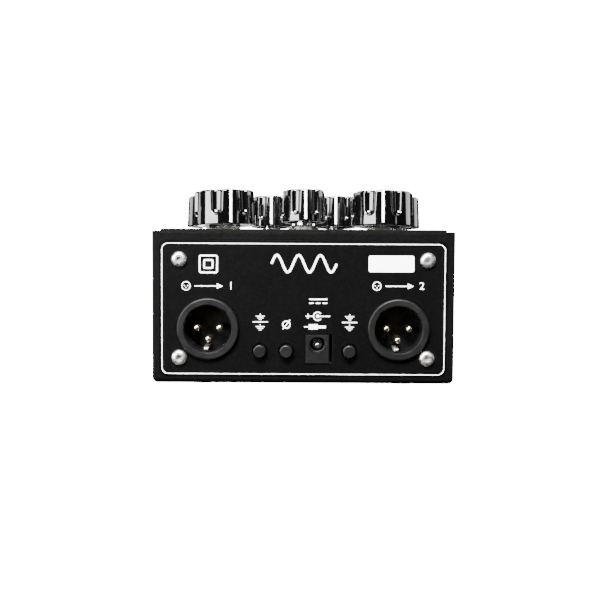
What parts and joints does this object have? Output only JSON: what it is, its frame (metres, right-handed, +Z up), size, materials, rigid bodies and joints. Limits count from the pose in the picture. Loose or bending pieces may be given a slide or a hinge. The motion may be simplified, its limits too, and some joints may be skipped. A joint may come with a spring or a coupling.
{
  "type": "direct injection box",
  "caption": "Sloped-top preamp and direct injection box in pedal form, with balanced outlets, power inlet and push switches at the rear, fluted knobs and footswitches on top.",
  "frame": {"origin": "middle of the whole outline, on the plane that the rubber feet stand on", "axes": "+X to the right as seen from the connector side, +Y from the connector side towards the footswitch side, +Z up"},
  "size_m": [0.11, 0.1478, 0.0732],
  "materials": {
    "case_black": "fine textured black powder coat",
    "plate_black": "satin black powder coat",
    "panel_black": "matt black powder coat",
    "stainless": "turned stainless steel",
    "black_screw": "black oxide",
    "xlr_shell": "moulded dark grey plastic",
    "gold": "pale gold plate",
    "tin": "tinned contact metal",
    "inlet_plastic": "moulded black plastic",
    "switch_plastic": "moulded black plastic",
    "button_plastic": "satin black plastic",
    "knob_plastic": "polished black plastic",
    "shaft_aluminium": "turned aluminium",
    "nickel": "nickel plate",
    "board_green": "glass-fibre board with green solder mask",
    "transformer_can": "grey enamelled can",
    "capacitor_sleeve": "shrink sleeve",
    "chip_plastic": "moulded epoxy",
    "ribbon_grey": "grey vinyl ribbon",
    "pot_metal": "plated steel can",
    "lens": "clear epoxy lens",
    "foot_rubber": "moulded black rubber",
    "label_white": "matt white vinyl"
  },
  "bodies": {
    "case": {"chassis_shell": "case_black", "top_plate": "plate_black", "rear_panel": "panel_black", "rear_panel_screws": "stainless", "top_plate_screws": "black_screw", "rubber_feet": "foot_rubber", "serial_label": "label_white", "xlr_left_housing": "xlr_shell", "xlr_right_housing": "xlr_shell", "xlr_left_pins": "gold", "xlr_right_pins": "gold", "xlr_ground_tabs": "tin", "power_inlet_housing": "inlet_plastic", "power_inlet_pin": "nickel", "power_inlet_sleeve": "nickel", "push_switch_bodies": "switch_plastic", "io_board": "board_green", "board_standoffs": "nickel", "board_screws": "nickel", "main_board": "board_green", "output_transformers": "transformer_can", "capacitors": "capacitor_sleeve", "circuit_chips": "chip_plastic", "ribbon_headers": "switch_plastic", "ribbon_cable": "ribbon_grey", "input_jack_housing": "switch_plastic", "output_jack_housing": "switch_plastic", "jack_contacts": "tin", "pot_bodies": "pot_metal", "pot_bushings": "nickel", "pot_washers": "nickel", "pot_nuts": "nickel", "footswitch_bodies": "inlet_plastic", "footswitch_bushings": "nickel", "footswitch_washers": "nickel", "footswitch_nuts": "nickel", "indicator_lenses": "lens", "indicator_bezels": "nickel", "indicator_spacers": "switch_plastic"},
    "knob_large_left": {"knob_large_left": "knob_plastic", "shaft_large_left": "shaft_aluminium"},
    "knob_centre": {"knob_centre": "knob_plastic", "shaft_centre": "shaft_aluminium"},
    "knob_large_right": {"knob_large_right": "knob_plastic", "shaft_large_right": "shaft_aluminium"},
    "knob_row_outer_left": {"knob_row_outer_left": "knob_plastic", "shaft_row_outer_left": "shaft_aluminium"},
    "knob_row_inner_left": {"knob_row_inner_left": "knob_plastic", "shaft_row_inner_left": "shaft_aluminium"},
    "knob_row_inner_right": {"knob_row_inner_right": "knob_plastic", "shaft_row_inner_right": "shaft_aluminium"},
    "knob_row_outer_right": {"knob_row_outer_right": "knob_plastic", "shaft_row_outer_right": "shaft_aluminium"},
    "button_left_ground_lift": {"button_left_ground_lift": "button_plastic"},
    "button_polarity": {"button_polarity": "button_plastic"},
    "button_right_ground_lift": {"button_right_ground_lift": "button_plastic"},
    "footswitch_plunger_left": {"footswitch_plunger_left": "nickel"},
    "footswitch_plunger_right": {"footswitch_plunger_right": "nickel"}
  },
  "joints": [
    {"name": "turn_large_left", "type": "hinge", "parent": "case", "child": "knob_large_left", "pos_m": [-0.0297, -0.05072, 0.0615], "axis": [0, 0.0941, 0.9956], "range_deg": [-163.7, 136.3]},
    {"name": "turn_centre", "type": "hinge", "parent": "case", "child": "knob_centre", "pos_m": [0, -0.05072, 0.0615], "axis": [0, 0.0941, 0.9956], "range_deg": [-154.8, 145.2]},
    {"name": "turn_large_right", "type": "hinge", "parent": "case", "child": "knob_large_right", "pos_m": [0.0297, -0.05072, 0.0615], "axis": [0, 0.0941, 0.9956], "range_deg": [-148, 152]},
    {"name": "turn_row_outer_left", "type": "hinge", "parent": "case", "child": "knob_row_outer_left", "pos_m": [-0.03795, -0.02483, 0.05905], "axis": [0, 0.0941, 0.9956], "range_deg": [-150, 150]},
    {"name": "turn_row_inner_left", "type": "hinge", "parent": "case", "child": "knob_row_inner_left", "pos_m": [-0.01265, -0.02483, 0.05905], "axis": [0, 0.0941, 0.9956], "range_deg": [-150, 150]},
    {"name": "turn_row_inner_right", "type": "hinge", "parent": "case", "child": "knob_row_inner_right", "pos_m": [0.01265, -0.02483, 0.05905], "axis": [0, 0.0941, 0.9956], "range_deg": [-150, 150]},
    {"name": "turn_row_outer_right", "type": "hinge", "parent": "case", "child": "knob_row_outer_right", "pos_m": [0.03795, -0.02483, 0.05905], "axis": [0, 0.0941, 0.9956], "range_deg": [-150, 150]},
    {"name": "press_left_ground_lift", "type": "slide", "parent": "case", "child": "button_left_ground_lift", "axis": [0, 1, 0], "range_m": [0, 0.0018], "stiffness_N_per_m": 900},
    {"name": "press_polarity", "type": "slide", "parent": "case", "child": "button_polarity", "axis": [0, 1, 0], "range_m": [0, 0.0018], "stiffness_N_per_m": 900},
    {"name": "press_right_ground_lift", "type": "slide", "parent": "case", "child": "button_right_ground_lift", "axis": [0, 1, 0], "range_m": [0, 0.0018], "stiffness_N_per_m": 900},
    {"name": "stomp_left", "type": "slide", "parent": "case", "child": "footswitch_plunger_left", "axis": [0, -0.0941, -0.9956], "range_m": [0, 0.003], "stiffness_N_per_m": 3000},
    {"name": "stomp_right", "type": "slide", "parent": "case", "child": "footswitch_plunger_right", "axis": [0, -0.0941, -0.9956], "range_m": [0, 0.003], "stiffness_N_per_m": 3000}
  ]
}
